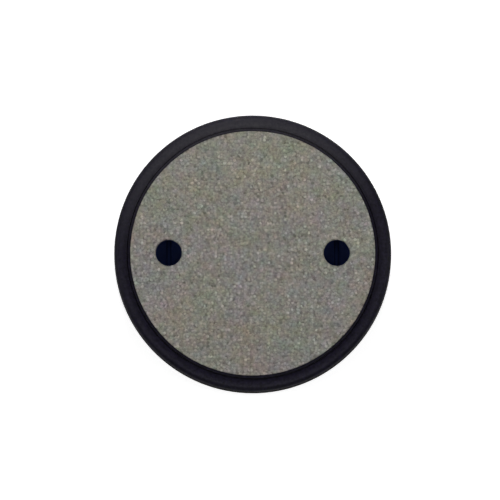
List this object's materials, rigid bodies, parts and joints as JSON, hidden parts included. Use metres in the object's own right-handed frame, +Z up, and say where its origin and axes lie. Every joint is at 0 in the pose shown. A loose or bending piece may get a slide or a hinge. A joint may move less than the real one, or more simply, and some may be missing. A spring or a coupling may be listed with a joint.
{
  "type": "manhole cover",
  "caption": "Round manhole cover and frame: a concrete-filled cast tray with blind lifting-key pockets, resting on a rubber ring in a black cast frame.",
  "frame": {"origin": "centre of the frame's underside, on the cover's axis, with the frame bedded and the cover seated", "axes": "+Z up out of the road along the cover's axis; X runs through the two key pockets; +Y is across it"},
  "size_m": [0.568, 0.568, 0.06],
  "materials": {
    "frame_iron": "satin",
    "tray_iron": "matte",
    "seal_rubber": "matte",
    "concrete": "matte",
    "pocket_plastic": "matte",
    "bar_steel": "satin",
    "zinc_steel": "satin",
    "rebar_steel": "matte",
    "chair_plastic": "matte",
    "wire_steel": "matte"
  },
  "bodies": {
    "frame": {"frame_ring": "frame_iron"},
    "seal": {"seat_gasket": "seal_rubber"},
    "cover": {"bar_chairs": "chair_plastic", "concrete_infill": "concrete", "cover_tray": "tray_iron", "edge_hoop": "rebar_steel", "key_pocket_left": "pocket_plastic", "key_pocket_right": "pocket_plastic", "lifting_bar_left": "bar_steel", "lifting_bar_right": "bar_steel", "pocket_bolts": "zinc_steel", "pocket_nuts": "zinc_steel", "pocket_washers": "zinc_steel", "rebar_x_1": "rebar_steel", "rebar_x_2": "rebar_steel", "rebar_x_3": "rebar_steel", "rebar_x_4": "rebar_steel", "rebar_x_5": "rebar_steel", "rebar_x_6": "rebar_steel", "rebar_x_7": "rebar_steel", "rebar_x_8": "rebar_steel", "rebar_y_1": "rebar_steel", "rebar_y_2": "rebar_steel", "rebar_y_3": "rebar_steel", "rebar_y_4": "rebar_steel", "rebar_y_5": "rebar_steel", "rebar_y_6": "rebar_steel", "rebar_y_7": "rebar_steel", "tie_wires": "wire_steel"}
  },
  "joints": [
    {"name": "cover_turn", "type": "hinge", "parent": "frame", "child": "seal", "pos_m": [0, 0, 0], "axis": [0, 0, 1], "continuous": true},
    {"name": "cover_lift", "type": "slide", "parent": "seal", "child": "cover", "axis": [0, 0, 1], "range_m": [0, 0.15]}
  ]
}
